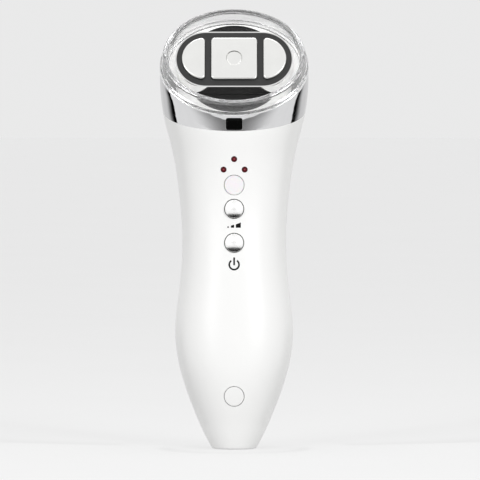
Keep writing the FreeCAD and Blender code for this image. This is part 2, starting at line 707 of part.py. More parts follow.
TOP_EDGES = [(at_height(SIZES["block_top"] + SIZES["electrode_proud"]), "electrode_round")]
SIDES = (("left", "-1"), ("right", "1"))
pockets = [centre_contact("centre_pocket", "slip", POCKET_FLOOR, ELECTRODE_TOP)]
for side, sign in SIDES:
    pockets.append(side_electrode(f"{side}_pocket", sign, "slip", POCKET_FLOOR, ELECTRODE_TOP))
    contact = side_electrode(f"{side}_contact", sign, "0", POCKET_FLOOR, ELECTRODE_TOP)
    on_head(rounded(f"{side}_electrode", contact, TOP_EDGES), f"{side}_electrode")
square = centre_contact("centre_contact", "0", POCKET_FLOOR, ELECTRODE_TOP)
square_rounded = rounded("square_rounded", square, TOP_EDGES)
sensor_recess = rod("sensor_recess", "sensor_radius + slip", "electrode_proud", 0, 0, SENSOR_FLOOR)
on_head(cut("centre_electrode", square_rounded, sensor_recess), "centre_electrode")
sensor_blank = rod("sensor_blank", "sensor_radius", "sensor_thick", 0, 0, SENSOR_FLOOR)
SENSOR_TOP = SIZES["block_top"] + SIZES["electrode_proud"] - SIZES["sensor_sink"]
on_head(rounded("sensor_disc", sensor_blank, [(at_height(SENSOR_TOP), "sensor_round")]), "sensor_disc")

block_body = stadium("block_body", BLOCK_SPAN, BLOCK_RADIUS, "block_top - trim_thick - plate_top", 0,
                     "plate_top")
block_crest = stadium("block_crest", BLOCK_SPAN, f"{BLOCK_RADIUS} - trim_width", "block_top - plate_top", 0,
                      "plate_top")
block_solid = fuse("block_solid", block_body, block_crest)
on_head(cut("electrode_block", block_solid, *pockets, *stud_bores("block_stud")), "electrode_block")
trim_outside = stadium("trim_outside", BLOCK_SPAN, BLOCK_RADIUS, "trim_thick", 0, "block_top - trim_thick")
trim_inside = stadium("trim_inside", BLOCK_SPAN, f"{BLOCK_RADIUS} - trim_width", "3 * trim_thick", 0,
                      "block_top - 2 * trim_thick")
on_head(cut("electrode_trim", trim_outside, trim_inside), "electrode_trim")

studs = [rod(f"stud_{number}", "stud_radius", f"{POCKET_FLOOR} + stud_end", x, 0, "-stud_end")
         for number, x in enumerate(STUDS)]
on_head(group("electrode_studs", *studs), "electrode_studs")
nuts = []
for number, x in enumerate(STUDS):
    hexagon = add("Part::Prism", f"nut_hexagon_{number}", Circumradius="nut_radius", Height="nut_thick")
    hexagon.Polygon = HEXAGON
    place(hexagon, x, 0, "-(deck + head_board_thick + nut_thick)")
    nut_bore = rod(f"nut_bore_{number}", "stud_radius + slip / 2", "2 * deck + nut_thick", x, 0,
                   "-(2 * deck + head_board_thick + nut_thick)")
    nuts.append(cut(f"nut_{number}", hexagon, nut_bore))
on_head(group("stud_nuts", *nuts), "stud_nuts")
head_board_blank = box("head_board_blank", f"2 * ({STUD_PITCH} + head_board_margin)", "head_board_depth",
                       "head_board_thick", 0, "-head_board_depth / 2", "-(deck + head_board_thick)")
on_head(cut("head_board", head_board_blank, *stud_bores("head_board_stud")), "head_board")
head_screws = []
for number, (x, y) in enumerate(HEAD_SCREWS):
    shank = rod(f"head_shank_{number}", "head_screw_radius", "deck - recess + head_screw_bite", x, y, "-deck")
    head = rod(f"head_screw_head_{number}", "head_screw_head", "head_screw_thick", x, y,
               "-(deck + head_screw_thick)")
    head_screws.append(fuse(f"head_screw_{number}", shank, head))
on_head(group("head_screws", *head_screws), "head_screws")

# Clear ring: flange on the deck, slightly tapered wall, rounded rim, and a foot under the plate.
clear_flange = oval("clear_flange_disc", "top_width - slip", "top_depth - slip", "clear_flange")
clear_wall = taper("clear_wall", "top_width - clear_step", "top_depth - clear_step", "clear_flange / 2",
                   RIM_WIDTH, RIM_DEPTH, "clear_height")
clear_spigot = oval("clear_spigot", f"{BORE_WIDTH} + recess_wall", f"{BORE_DEPTH} + recess_wall",
                    "recess + clear_flange / 2", "-recess")
clear_bore = oval("clear_bore", BORE_WIDTH, BORE_DEPTH, "clear_height + recess", FOOT_TOP)
clear_foot_bore = oval("clear_foot_bore", FOOT_WIDTH, FOOT_DEPTH, "3 * clear_foot",
                       f"{FOOT_TOP} - 2 * clear_foot")
clear_solid = fuse("clear_solid", clear_flange, clear_wall, clear_spigot)
clear_tube = cut("clear_tube", clear_solid, clear_bore, clear_foot_bore)
on_head(rounded("clear_ring", clear_tube, [(at_height(SIZES["clear_height"]), "clear_round")]), "clear_ring")

doc.recompute()
for piece in doc.Objects:
    if "Invalid" in piece.State or "Error" in piece.State:
        raise RuntimeError(f"{piece.Name} did not build: {piece.State}")
os.makedirs("parts", exist_ok=True)
for label, piece in finished.items():
    if piece.Shape.isNull() or not piece.Shape.isValid():
        raise RuntimeError(f"{label} has no valid shape")
    piece.Shape.exportStep(f"parts/{label}.step")
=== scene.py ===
"""Dressed model of a hand-held RF facial device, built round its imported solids.

Lengths in the size fields of the device are millimetres; those of the stage, and all meshes, are in
metres, in the frame of the solids.
"""
import logging
import math
from collections.abc import Callable, Sequence
from dataclasses import dataclass, field, replace
from enum import Enum

import bpy
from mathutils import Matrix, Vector


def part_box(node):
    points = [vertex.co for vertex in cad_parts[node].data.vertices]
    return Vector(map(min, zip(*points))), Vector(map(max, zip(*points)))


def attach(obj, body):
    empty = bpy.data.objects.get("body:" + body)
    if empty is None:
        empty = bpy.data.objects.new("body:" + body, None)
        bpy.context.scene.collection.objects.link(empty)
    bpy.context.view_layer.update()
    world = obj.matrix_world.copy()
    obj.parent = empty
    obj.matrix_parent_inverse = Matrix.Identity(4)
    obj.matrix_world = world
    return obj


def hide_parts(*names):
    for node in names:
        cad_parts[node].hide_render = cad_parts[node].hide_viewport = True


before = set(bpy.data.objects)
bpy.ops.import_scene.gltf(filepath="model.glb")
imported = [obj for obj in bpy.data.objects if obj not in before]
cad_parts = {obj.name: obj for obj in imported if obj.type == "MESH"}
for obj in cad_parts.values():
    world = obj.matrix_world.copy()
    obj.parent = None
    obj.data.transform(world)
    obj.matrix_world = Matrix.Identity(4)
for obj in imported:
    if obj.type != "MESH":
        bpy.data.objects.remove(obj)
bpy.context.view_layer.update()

LOG = logging.getLogger("rf_facial_device")
HANDLE = "handle"
# Metres in a millimetre, and metres within which corners are merged.
MM = 0.001
WELD = 1e-6
# Turn that stands a flat shape upright, to face the front.
UPRIGHT = (math.radians(90), 0, 0)
# Colour sockets of the Mix node, which share their names with its other sockets.
MIX_A = 6
MIX_B = 7
MIX_RESULT = 2
# Octaves of the noise in soft clouds, wiping marks, drawn lines and fine skins.
CLOUD_DETAIL = 3.0
SMEAR_DETAIL = 4.0
LINE_DETAIL = 3.0
SKIN_DETAIL = 2.0
# Values between which most of a noise lies.
NOISE_LOW = 0.3
NOISE_HIGH = 0.7


class Ends(Enum):
    """How a wall of rings is closed."""

    CAPPED = "capped"
    LOOPED = "looped"


class Pick(Enum):
    """What is picked on a mesh, as the select mode that picks it."""

    CORNERS = "VERT"
    FACES = "FACE"


@dataclass(frozen=True)
class Ring:
    """One oval of a wall: half width, half depth and height in millimetres."""

    width: float
    depth: float
    height: float


def to_linear(colour: str) -> tuple[float, float, float, float]:
    """Turns an sRGB hex colour into linear light.

    Args:
        colour: six hex digits after a hash sign.

    Returns:
        Linear red, green, blue and full alpha.
    """
    parts = [int(colour[start:start + 2], 16) / 255 for start in (1, 3, 5)]
    bright = [part / 12.92 if part <= 0.04045 else ((part + 0.055) / 1.055) ** 2.4 for part in parts]
    return (*bright, 1.0)


def feed(tree: bpy.types.NodeTree, node: bpy.types.Node, inputs: dict[str | int, object]) -> None:
    """Sets or links a node's inputs.

    Args:
        tree: the node tree that holds the node.
        node: the node.
        inputs: input sockets, each with a value or with the output socket that feeds it.
    """
    for key, value in inputs.items():
        if isinstance(value, bpy.types.NodeSocket):
            tree.links.new(value, node.inputs[key])
        else:
            node.inputs[key].default_value = value


def add_node(tree: bpy.types.NodeTree, kind: str, settings: dict[str, object],
             inputs: dict[str | int, object]) -> bpy.types.Node:
    """Adds a node with its settings and inputs.

    Args:
        tree: the node tree that gets the node.
        kind: the node's type name.
        settings: properties of the node itself.
        inputs: input sockets, each with a value or with the output socket that feeds it.

    Returns:
        The new node.
    """
    node = tree.nodes.new(kind)
    for key, value in settings.items():
        setattr(node, key, value)
    feed(tree, node, inputs)
    return node


def by_sight(tree: bpy.types.NodeTree, soft: float, camera: float, mirror: float) -> bpy.types.NodeSocket:
    """Adds a level that depends on what looks: soft light, the camera, or a mirror or clear piece.

    Args:
        tree: the node tree that gets the level.
        soft: level in soft light.
        camera: level to the camera.
        mirror: level in mirrors and through clear pieces.

    Returns:
        The level's output.
    """
    path = add_node(tree, "ShaderNodeLightPath", {}, {})
    shine = add_node(tree, "ShaderNodeMath", {"operation": "MAXIMUM"}, {
        0: path.outputs["Is Glossy Ray"], 1: path.outputs["Is Transmission Ray"]})
    indirect = add_node(tree, "ShaderNodeMapRange", {}, {
        "Value": shine.outputs["Value"], "To Min": soft, "To Max": mirror})
    level = add_node(tree, "ShaderNodeMapRange", {}, {
        "Value": path.outputs["Is Camera Ray"], "To Min": indirect.outputs["Result"], "To Max": camera})
    return level.outputs["Result"]


def per_metre(size: float) -> float:
    """Noise scale whose features are about a size in millimetres."""
    return 1.0 / (size * MM)


@dataclass(frozen=True)
class Finish:
    """A named surface; each kind paints its own nodes."""

    name: str

    def paint(self, tree: bpy.types.NodeTree, shader: bpy.types.Node) -> None:
        """Adds the nodes that feed the shader."""
        raise NotImplementedError

    def material(self) -> bpy.types.Material:
        """Gives the finish's material, made at its first use.

        Returns:
            The material, shared by every piece with this finish.
        """
        made = bpy.data.materials.get(self.name)
        if made is None:
            made = bpy.data.materials.new(self.name)
            made.use_nodes = True
            made.cycles.emission_sampling = "NONE"
            self.paint(made.node_tree, made.node_tree.nodes["Principled BSDF"])
        return made


@dataclass(frozen=True)
class Moulding(Finish):
    """Injection moulded plastic: soft tone clouds, uneven gloss and a faint orange-peel skin."""

    colour: str
    shade: str
    gloss: tuple[float, float]
    cloud: float = 26.0
    smear: float = 7.0
    grain: float = 0.8
    relief: float = 0.004
    index: float = 1.53
    bleed: float = 0.0
    # Emission in the moulding's own colour: painted light for a part that lies in shade.
    painted_glow: float = 0.0

    def paint(self, tree: bpy.types.NodeTree, shader: bpy.types.Node) -> None:
        """Adds cloud, gloss and skin noise to the shader.

        Args:
            tree: the material's nodes.
            shader: the shader that they feed.
        """
        place = add_node(tree, "ShaderNodeTexCoord", {}, {}).outputs["Object"]
        cloud = add_node(tree, "ShaderNodeTexNoise", {}, {
            "Vector": place, "Scale": per_metre(self.cloud), "Detail": CLOUD_DETAIL})
        tone = add_node(tree, "ShaderNodeMix", {"data_type": "RGBA"}, {
            "Factor": cloud.outputs["Fac"], MIX_A: to_linear(self.colour), MIX_B: to_linear(self.shade)})
        smear = add_node(tree, "ShaderNodeTexNoise", {}, {
            "Vector": place, "Scale": per_metre(self.smear), "Detail": SMEAR_DETAIL})
        gloss = add_node(tree, "ShaderNodeMapRange", {}, {
            "Value": smear.outputs["Fac"], "From Min": NOISE_LOW, "From Max": NOISE_HIGH,
            "To Min": self.gloss[0], "To Max": self.gloss[1]})
        grain = add_node(tree, "ShaderNodeTexNoise", {}, {
            "Vector": place, "Scale": per_metre(self.grain), "Detail": SKIN_DETAIL})
        skin = add_node(tree, "ShaderNodeBump", {}, {
            "Height": grain.outputs["Fac"], "Distance": self.relief * MM})
        feed(tree, shader, {
            "Base Color": tone.outputs[MIX_RESULT], "Roughness": gloss.outputs["Result"],
            "Normal": skin.outputs["Normal"], "IOR": self.index, "Subsurface Weight": self.bleed,
            "Subsurface Scale": MM, "Emission Color": to_linear(self.colour), "Emission Strength": self.painted_glow})


@dataclass(frozen=True)
class Metal(Finish):
    """Plated, polished or turned metal: tone clouds, wiping marks and fine drawn lines."""

    colour: str
    shade: str
    gloss: tuple[float, float]
    smear: float = 5.0
    line: float = 0.5
    stretch: tuple[float, float, float] = (1.0, 1.0, 1.0)
    relief: float = 0.0005

    def paint(self, tree: bpy.types.NodeTree, shader: bpy.types.Node) -> None:
        """Adds wiping marks and drawn lines to the shader.

        Args:
            tree: the material's nodes.
            shader: the shader that they feed.
        """
        place = add_node(tree, "ShaderNodeTexCoord", {}, {}).outputs["Object"]
        smear = add_node(tree, "ShaderNodeTexNoise", {}, {
            "Vector": place, "Scale": per_metre(self.smear), "Detail": SMEAR_DETAIL})
        tone = add_node(tree, "ShaderNodeMix", {"data_type": "RGBA"}, {
            "Factor": smear.outputs["Fac"], MIX_A: to_linear(self.colour), MIX_B: to_linear(self.shade)})
        gloss = add_node(tree, "ShaderNodeMapRange", {}, {
            "Value": smear.outputs["Fac"], "From Min": NOISE_LOW, "From Max": NOISE_HIGH,
            "To Min": self.gloss[0], "To Max": self.gloss[1]})
        drawn = add_node(tree, "ShaderNodeMapping", {}, {"Vector": place, "Scale": self.stretch})
        line = add_node(tree, "ShaderNodeTexNoise", {}, {
            "Vector": drawn.outputs["Vector"], "Scale": per_metre(self.line), "Detail": LINE_DETAIL})
        skin = add_node(tree, "ShaderNodeBump", {}, {
            "Height": line.outputs["Fac"], "Distance": self.relief * MM})
        feed(tree, shader, {
            "Base Color": tone.outputs[MIX_RESULT], "Roughness": gloss.outputs["Result"],
            "Normal": skin.outputs["Normal"], "Metallic": 1.0})


@dataclass(frozen=True)
class Clear(Finish):
    """Polished clear plastic: nearly full transmission with faint handling haze."""

    colour: str
    index: float
    gloss: tuple[float, float]
    haze: float = 6.0
    haze_span: tuple[float, float] = (0.35, 0.75)
    clarity: float = 0.93

    def paint(self, tree: bpy.types.NodeTree, shader: bpy.types.Node) -> None:
        """Adds haze to the roughness of a transmitting shader.

        Args:
            tree: the material's nodes.
            shader: the shader that they feed.
        """
        place = add_node(tree, "ShaderNodeTexCoord", {}, {}).outputs["Object"]
        haze = add_node(tree, "ShaderNodeTexNoise", {}, {
            "Vector": place, "Scale": per_metre(self.haze), "Detail": SMEAR_DETAIL})
        gloss = add_node(tree, "ShaderNodeMapRange", {}, {
            "Value": haze.outputs["Fac"], "From Min": self.haze_span[0], "From Max": self.haze_span[1],
            "To Min": self.gloss[0], "To Max": self.gloss[1]})
        feed(tree, shader, {
            "Base Color": to_linear(self.colour), "Roughness": gloss.outputs["Result"],
            "IOR": self.index, "Transmission Weight": self.clarity})


@dataclass(frozen=True)
class Jewel(Finish):
    """Tinted light lens: a small lighter heart, a painted glow of the lit LED behind it, with specks, in a
    darker rim.
    """

    painted_glow_heart: str
    rim: str
    centre: tuple[float, float, float] = (0.0, 0.0, 0.0)
    radius: float = 1.0
    tightness: float = 6.0
    speck: float = 0.3
    speck_tone: float = 0.7
    gloss: float = 0.3
    shine: float = 0.2

    def paint(self, tree: bpy.types.NodeTree, shader: bpy.types.Node) -> None:
        """Adds the blend from the painted glow at the heart to the rim, about the lens's own centre.

        Args:
            tree: the material's nodes.
            shader: the shader that they feed.
        """
        place = add_node(tree, "ShaderNodeTexCoord", {}, {}).outputs["Object"]
        about = add_node(tree, "ShaderNodeMapping", {"vector_type": "TEXTURE"}, {
            "Vector": place, "Location": self.centre, "Scale": (self.radius * MM,) * 3})
        ball = add_node(tree, "ShaderNodeTexGradient", {"gradient_type": "SPHERICAL"}, {
            "Vector": about.outputs["Vector"]})
        speck = add_node(tree, "ShaderNodeTexNoise", {}, {
            "Vector": place, "Scale": per_metre(self.speck), "Detail": SKIN_DETAIL})
        small = add_node(tree, "ShaderNodeMath", {"operation": "POWER"}, {
            0: ball.outputs["Fac"], 1: self.tightness})
        grain = add_node(tree, "ShaderNodeMapRange", {}, {
            "Value": speck.outputs["Fac"], "To Min": self.speck_tone, "To Max": 1.0})
        painted_glow_heart = add_node(tree, "ShaderNodeMath", {"operation": "MULTIPLY"}, {
            0: small.outputs["Value"], 1: grain.outputs["Result"]})
        tone = add_node(tree, "ShaderNodeMix", {"data_type": "RGBA"}, {
            "Factor": painted_glow_heart.outputs["Value"], MIX_A: to_linear(self.rim), MIX_B: to_linear(self.painted_glow_heart)})
        feed(tree, shader, {
            "Base Color": tone.outputs[MIX_RESULT], "Roughness": self.gloss,
            "Specular IOR Level": self.shine})


@dataclass(frozen=True)
class BoardMask(Finish):
    """Solder mask over copper tracks: straight runs that show as lighter, raised lines."""

    mask: str
    track: str
    pitch: float = 1.6
    track_share: float = 0.06
    stagger: float = 0.35
    relief: float = 0.03
    gloss: float = 0.35

    def paint(self, tree: bpy.types.NodeTree, shader: bpy.types.Node) -> None:
        """Adds the tracks to colour and relief.

        Args:
            tree: the material's nodes.
            shader: the shader that they feed.
        """
        place = add_node(tree, "ShaderNodeTexCoord", {}, {}).outputs["Object"]
        cells = add_node(tree, "ShaderNodeTexBrick", {"offset": self.stagger}, {
            "Vector": place, "Scale": per_metre(self.pitch), "Mortar Size": self.track_share,
            "Color1": to_linear(self.mask), "Color2": to_linear(self.mask), "Mortar": to_linear(self.track)})
        skin = add_node(tree, "ShaderNodeBump", {}, {
            "Height": cells.outputs["Fac"], "Distance": self.relief * MM})
        feed(tree, shader, {
            "Base Color": cells.outputs["Color"], "Normal": skin.outputs["Normal"], "Roughness": self.gloss})


@dataclass(frozen=True)
class Paper(Moulding):
    """Matt paper under the real shadow, with an even white for camera, mirrors and clear pieces."""

    lift: float = 0.6
    bounce: float = 0.34

    def paint(self, tree: bpy.types.NodeTree, shader: bpy.types.Node) -> None:
        """Adds the even white, and the soft light that the paper throws back.

        Args:
            tree: the material's nodes.
            shader: the shader that they feed.
        """
        super().paint(tree, shader)
        level = by_sight(tree, self.bounce, self.lift, self.lift)
        feed(tree, shader, {"Emission Color": to_linear("#FFFFFF"), "Emission Strength": level})


@dataclass(frozen=True)
class Cloth(Finish):
    """Cloth of a reflector sheet: one tone of its own, faintly uneven, whatever light falls on it."""

    tone: str
    patch: float = 60.0
    uneven: float = 0.05

    def paint(self, tree: bpy.types.NodeTree, shader: bpy.types.Node) -> None:
        """Adds the tone and its unevenness as the cloth's light.

        Args:
            tree: the material's nodes.
            shader: the shader that they feed.
        """
        place = add_node(tree, "ShaderNodeTexCoord", {}, {}).outputs["Object"]
        patch = add_node(tree, "ShaderNodeTexNoise", {}, {"Vector": place, "Scale": per_metre(self.patch)})
        level = add_node(tree, "ShaderNodeMapRange", {}, {
            "Value": patch.outputs["Fac"], "To Min": 1.0 - self.uneven, "To Max": 1.0 + self.uneven})
        feed(tree, shader, {
            "Emission Color": to_linear(self.tone), "Emission Strength": level.outputs["Result"],
            "Base Color": to_linear("#000000"), "Specular IOR Level": 0.0})


@dataclass(frozen=True)
class ShadedCloth(Cloth):
    """Cloth whose tone runs to another between two angles, in degrees from the front of the device."""

    far_tone: str = "#FFFFFF"
    span: tuple[float, float] = (0.0, 90.0)

    def paint(self, tree: bpy.types.NodeTree, shader: bpy.types.Node) -> None:
        """Adds the run from one tone to the other, the same on both sides.

        Args:
            tree: the material's nodes.
            shader: the shader that they feed.
        """
        super().paint(tree, shader)
        place = add_node(tree, "ShaderNodeTexCoord", {}, {}).outputs["Object"]
        axes = add_node(tree, "ShaderNodeSeparateXYZ", {}, {"Vector": place})
        side = add_node(tree, "ShaderNodeMath", {"operation": "ABSOLUTE"}, {0: axes.outputs["X"]})
        front = add_node(tree, "ShaderNodeMath", {"operation": "MULTIPLY"}, {0: axes.outputs["Y"], 1: -1.0})
        turn = add_node(tree, "ShaderNodeMath", {"operation": "ARCTAN2"}, {
            0: side.outputs["Value"], 1: front.outputs["Value"]})
        share = add_node(tree, "ShaderNodeMapRange", {"interpolation_type": "SMOOTHSTEP"}, {
            "Value": turn.outputs["Value"], "From Min": math.radians(self.span[0]),
            "From Max": math.radians(self.span[1])})
        tone = add_node(tree, "ShaderNodeMix", {"data_type": "RGBA"}, {
            "Factor": share.outputs["Result"], MIX_A: to_linear(self.tone), MIX_B: to_linear(self.far_tone)})
        feed(tree, shader, {"Emission Color": tone.outputs[MIX_RESULT]})


# Matt floor paper: even white under the device's shadow.
PAPER = Paper("matt_paper_floor", "#7C7C7C", "#7B7B7B", (0.9, 0.95), cloud=300.0, smear=80.0, lift=0.635)
# Lit cloth in front of the device: shades the chrome beside the window, grey there and white at the sides.
LIT_CLOTH = ShadedCloth("lit_cloth", "#7C7C7C", far_tone="#FFFFFF", span=(0.0, 52.0))
# White cloth: gives the chrome its bright fields.
WHITE_CLOTH = Cloth("white_cloth", "#FFFFFF")
# Dark mat round the foot: gives the domed buttons their dark lower edge.
DARK_MAT = Cloth("dark_mat", "#0A0A0A")
# Black cloth at the sides: gives the chrome its dark wedges, which pale towards the back.
BLACK_CLOTH = ShadedCloth("black_cloth", "#050505", far_tone="#E4E4E4", span=(106.0, 130.0))
# Gloss white ABS: bright, slightly warm, with a soft sheen.
WHITE_ABS = Moulding("white_abs_gloss", "#F5F5F4", "#F3F3F2", (0.28, 0.31), cloud=60.0, smear=40.0,
                     relief=0.001)
# Pearl silver lacquer of the buttons: white where it faces the light, dark along the lower edge.
PEARL = Metal("pearl_silver_lacquer", "#F8F8F7", "#F3F3F2", (0.25, 0.27), smear=3.0, line=0.3, relief=0.0002)
# Milky polycarbonate of the status disc: faintly pink, light bleeds into it.
MILKY_PC = Moulding("milky_polycarbonate", "#F4F2F3", "#F1EEF0", (0.3, 0.4), smear=3.0, bleed=0.2)
# Red acrylic of the light lenses: dark ruby with a lighter heart of painted glow from the lit LED behind it,
# made anew about each lens's centre.
RUBY = Jewel("red_acrylic", painted_glow_heart="#D8606C", rim="#4A0008")
# Pale light guide round the block: bright white, with a painted glow in its own colour that stands in for the
# light the clear ring keeps off it.
GUIDE_PC = Moulding("light_guide_polycarbonate", "#F5F5F4", "#EFEFEE", (0.16, 0.26), smear=3.0, painted_glow=0.35)
# Gloss black ABS of the electrode block: deep black with a soft sheen.
BLACK_ABS = Moulding("black_abs_gloss", "#151515", "#1A1A1A", (0.28, 0.36), smear=4.0)
# Dull black ABS of the plate round the block: deep and quiet.
PLATE_ABS = Moulding("black_abs_dull", "#0B0B0B", "#0E0E0E", (0.42, 0.55), smear=4.0, index=1.4)
# Smoked window: black and mirror smooth.
SMOKED_PC = Moulding("smoked_polycarbonate", "#050505", "#080808", (0.05, 0.1), smear=3.0, relief=0.001,
                     index=1.15)
# Screen-printed ink: black, slightly dull, with the mesh's grain.
INK = Moulding("screen_printed_ink", "#0C0C0C", "#141414", (0.45, 0.6), cloud=1.5, smear=1.0, grain=0.25,
               index=1.2)
# Chrome plate on ABS: neutral mirror with faint wiping marks.
CHROME = Metal("chrome_plate", "#DADADB", "#D2D2D3", (0.04, 0.08), smear=9.0, line=1.5, relief=0.0002)
# Nickel-plated electrodes, polished: pale silver, reflections softened by use.
NICKEL = Metal("nickel_plate_polished", "#EAEAE8", "#E4E4E2", (0.2, 0.27), smear=4.0, line=0.35,
               stretch=(0.1, 1.0, 1.0), relief=0.0006)
# Bright plated trim: a thin mirror line round the block.
BRIGHT_TRIM = Metal("bright_plated_trim", "#E4E4E3", "#DCDCDC", (0.05, 0.09), smear=4.0, relief=0.0002)
# Clear polycarbonate, polished: colourless with dark edges where light bends away.
CLEAR_PC = Clear("clear_polycarbonate", "#FDFDFD", 1.5, (0.03, 0.05))
# Zinc-plated steel of screws, socket and cell tabs: cool grey with a broken sheen.
ZINC = Metal("zinc_plated_steel", "#A9ABAD", "#97999B", (0.25, 0.4), smear=1.5, line=0.3)
# Turned brass: warm yellow with a fine tooled skin.
BRASS = Metal("turned_brass", "#C8A45A", "#B8924A", (0.2, 0.32), smear=1.5, line=0.2)
# Enamelled copper wire: warm brown, fine turns side by side.
COPPER = Metal("enamelled_copper", "#B06A3A", "#9A552C", (0.25, 0.35), line=0.4, stretch=(0.05, 1.0, 0.05),
               relief=0.05)
# Sintered ferrite: dark grey and dull.
FERRITE = Moulding("sintered_ferrite", "#2C2C2E", "#343436", (0.6, 0.75), cloud=3.0, grain=0.3, relief=0.02)
# Shrink-wrapped cell: blue film with a soft sheen.
CELL_WRAP = Moulding("shrink_wrap_film", "#2C5F9E", "#285891", (0.3, 0.42), cloud=8.0, grain=1.5)
# Solder mask on glass-epoxy board: deep green with paler track lines.
BOARD = BoardMask("solder_mask_board", "#14502C", "#2A7A48")
# Moulded epoxy of chips, switches and the socket's tongue: dull near-black with a fine grain.
EPOXY = Moulding("moulded_epoxy", "#1C1C1D", "#242425", (0.5, 0.65), cloud=2.0, grain=0.2, relief=0.008)
# Natural nylon of the plungers and light bodies: creamy and dull.
NYLON = Moulding("natural_nylon", "#D9D5C8", "#D0CCBF", (0.4, 0.5), cloud=2.0)


class Bench:
    """Operator steps that shape one mesh at a time."""

    @staticmethod
    def clear() -> None:
        """Leaves edit mode and deselects everything."""
        if bpy.context.mode != "OBJECT":
            bpy.ops.object.mode_set(mode="OBJECT")
        bpy.ops.object.select_all(action="DESELECT")

    @staticmethod
    def take(piece: bpy.types.Object) -> None:
        """Makes a piece the only one selected, and the active one.

        Args:
            piece: the mesh object.
        """
        Bench.clear()
        bpy.context.view_layer.objects.active = piece
        piece.select_set(True)

    @staticmethod
    def open(piece: bpy.types.Object) -> None:
        """Opens a piece for editing with all of its mesh selected.

        Args:
            piece: the mesh object.
        """
        Bench.take(piece)
        bpy.ops.object.mode_set(mode="EDIT")
        bpy.ops.mesh.select_mode(type="VERT")
        bpy.ops.mesh.select_all(action="SELECT")

    @staticmethod
    def pick(piece: bpy.types.Object, what: Pick, test: Callable[[Vector], bool]) -> None:
        """Opens a piece with only the corners or faces selected whose place passes a test.

        Args:
            piece: the mesh object.
            what: corners or faces.
            test: takes a corner's place or a face's centre in metres.
        """
        Bench.open(piece)
        bpy.ops.mesh.select_mode(type=what.value)
        bpy.ops.mesh.select_all(action="DESELECT")
        bpy.ops.object.mode_set(mode="OBJECT")
        if what is Pick.FACES:
            for face in piece.data.polygons:
                face.select = test(face.center)
        else:
            for corner in piece.data.vertices:
                corner.select = test(corner.co)
        bpy.ops.object.mode_set(mode="EDIT")

    @staticmethod
    def finish_with(piece: bpy.types.Object, kind: str, **settings: object) -> None:
        """Adds a modifier and applies it.

        Args:
            piece: the mesh object.
            kind: the modifier's type name.
            **settings: the modifier's properties.
        """
        Bench.take(piece)
        modifier = piece.modifiers.new(kind.lower(), kind)
        for key, value in settings.items():
            setattr(modifier, key, value)
        bpy.ops.object.modifier_apply(modifier=modifier.name)

    @staticmethod
    def smooth(piece: bpy.types.Object, crease: float) -> None:
        """Shades a piece smooth across edges below an angle in degrees."""
        Bench.take(piece)
        bpy.ops.object.shade_smooth_by_angle(angle=math.radians(crease))

    @staticmethod
    def round_edges(piece: bpy.types.Object, width: float, steps: int, sharp: float = 50.0,
                    crease: float = 35.0) -> None:
        """Rounds the sharp edges of a piece and shades it smooth.

        Args:
            piece: the mesh object.
            width: width of the rounding in millimetres.
            steps: rows of faces in the rounding.
            sharp: degrees from which an edge is rounded.
            crease: degrees below which an edge is shaded smooth.
        """
        Bench.finish_with(piece, "BEVEL", width=width * MM, segments=steps, limit_method="ANGLE",
                          angle_limit=math.radians(sharp))
        Bench.smooth(piece, crease)

    @staticmethod
    def wall(name: str, rings: Sequence[Ring], segments: int, ends: Ends) -> bpy.types.Object:
        """Extrudes a circle through a row of ovals along Z.

        Args:
            name: the piece's name.
            rings: the ovals in order, from the first to the last.
            segments: corners of each oval.
            ends: whether both ends are filled or the last oval meets the first.

        Returns:
            The closed mesh object.
        """
        Bench.clear()
        bpy.ops.mesh.primitive_circle_add(vertices=segments, radius=MM)
        piece = bpy.context.object
        piece.name = name
        Bench.open(piece)
        bpy.ops.transform.resize(value=(rings[0].width, rings[0].depth, 1), center_override=(0, 0, 0))
        bpy.ops.transform.translate(value=(0, 0, rings[0].height * MM))
        if ends is Ends.CAPPED:
            bpy.ops.mesh.edge_face_add()
        for before, ring in zip(rings, rings[1:]):
            bpy.ops.mesh.extrude_region_move(
                TRANSFORM_OT_translate={"value": (0, 0, (ring.height - before.height) * MM)})
            bpy.ops.transform.resize(value=(ring.width / before.width, ring.depth / before.depth, 1),
                                     center_override=(0, 0, 0))
        bpy.ops.mesh.select_all(action="SELECT")
        bpy.ops.mesh.remove_doubles(threshold=WELD)
        bpy.ops.mesh.normals_make_consistent(inside=False)
        Bench.clear()
        return piece

    @staticmethod
    def turn(piece: bpy.types.Object, lean: float, place: Vector) -> None:
        """Leans a mesh about X and moves it to its place.

        Args:
            piece: the mesh object.
            lean: right-handed turn in degrees.
            place: where the mesh's origin goes, in metres.
        """
        Bench.open(piece)
        bpy.ops.transform.rotate(value=-math.radians(lean), orient_axis="X", center_override=(0, 0, 0))
        bpy.ops.transform.translate(value=place)
        Bench.clear()

    @staticmethod
    def trace(node: str, name: str) -> bpy.types.Object:
        """Copies a solid's mesh into a new piece and welds its triangles.

        Args:
            node: the solid to copy.
            name: the piece's name.

        Returns:
            The welded mesh object.
        """
        piece = bpy.data.objects.new(name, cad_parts[node].data.copy())
        bpy.context.scene.collection.objects.link(piece)
        Bench.open(piece)
        bpy.ops.mesh.customdata_custom_splitnormals_clear()
        bpy.ops.mesh.remove_doubles(threshold=WELD)
        Bench.clear()
        return piece

    @staticmethod
    def flush_disc(node: str, name: str, gap: float = 0.13, edge: float = 0.28,
                   steps: int = 3) -> bpy.types.Object:
        """Copies a disc that lies flush in the front, opens its gap and rounds its edge.

        Args:
            node: the solid to copy.
            name: the piece's name.
            gap: how far the side is drawn in, in millimetres.
            edge: width of the rounded edge in millimetres.
            steps: rows of faces in the rounded edge.

        Returns:
            The disc's mesh object.
        """
        low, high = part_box(node)
        share = 1 - 2 * gap * MM / (high.x - low.x)
        disc = Bench.trace(node, name)
        Bench.open(disc)
        bpy.ops.transform.resize(value=(share, 1, share), center_override=(low + high) / 2)
        Bench.round_edges(disc, edge, steps)
        return disc


